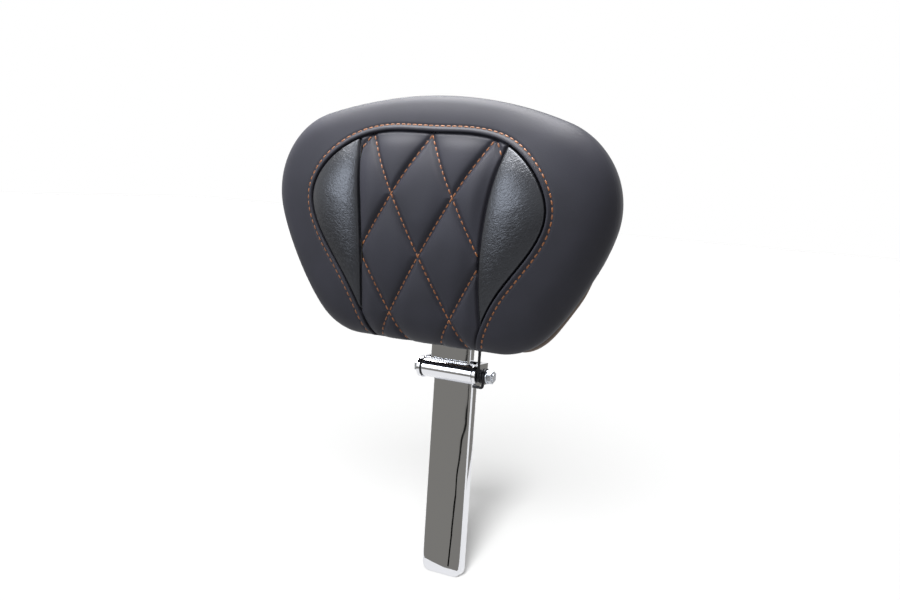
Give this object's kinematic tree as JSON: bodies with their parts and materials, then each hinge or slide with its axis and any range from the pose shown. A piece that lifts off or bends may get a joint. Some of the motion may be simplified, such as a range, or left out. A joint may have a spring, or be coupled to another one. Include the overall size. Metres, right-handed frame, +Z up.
{
  "type": "motorcycle driver backrest",
  "caption": "Folding rider backrest: quilted two-tone vinyl pad on a sprung chrome hinge, carried by a flat chrome post with height detents.",
  "frame": {"origin": "centre of the post's bottom face", "axes": "+Z up along the post, -Y the way the pad's face looks, +X to the pad's right as seen from its front"},
  "size_m": [0.3112, 0.0841, 0.4002],
  "materials": {
    "chrome": "polished",
    "plated_steel": "bright zinc",
    "black_steel": "black oxide",
    "matte_vinyl": "matte grained vinyl",
    "gloss_vinyl": "glossy crinkled vinyl",
    "back_vinyl": "smooth vinyl",
    "foam": "open-cell foam",
    "plywood": "raw",
    "nylon": "turned"
  },
  "bodies": {
    "post_side": {"post": "chrome", "hinge_yoke": "chrome", "pivot_bolt": "plated_steel", "pivot_washers": "plated_steel", "pivot_nut": "plated_steel", "stop_screw": "plated_steel", "stop_jam_nut": "plated_steel", "torsion_spring": "black_steel"},
    "pad_side": {"hinge_barrel": "chrome", "tongue": "chrome", "tongue_bolts": "plated_steel", "tongue_washers": "plated_steel", "tee_nuts": "plated_steel", "border_cover": "matte_vinyl", "diamond_panel": "matte_vinyl", "left_insert": "gloss_vinyl", "right_insert": "gloss_vinyl", "back_panel": "back_vinyl", "back_welt": "back_vinyl", "foam_core": "foam", "back_board": "plywood", "barrel_bushings": "nylon"}
  },
  "joints": [
    {"name": "pad_fold", "type": "hinge", "parent": "post_side", "child": "pad_side", "pos_m": [0, -0.0095, 0.1765], "axis": [1, 0, 0], "range_deg": [0, 80], "stiffness_Nm_per_rad": 2, "springref_deg": -40.11, "deforming": ["torsion_spring"]}
  ]
}
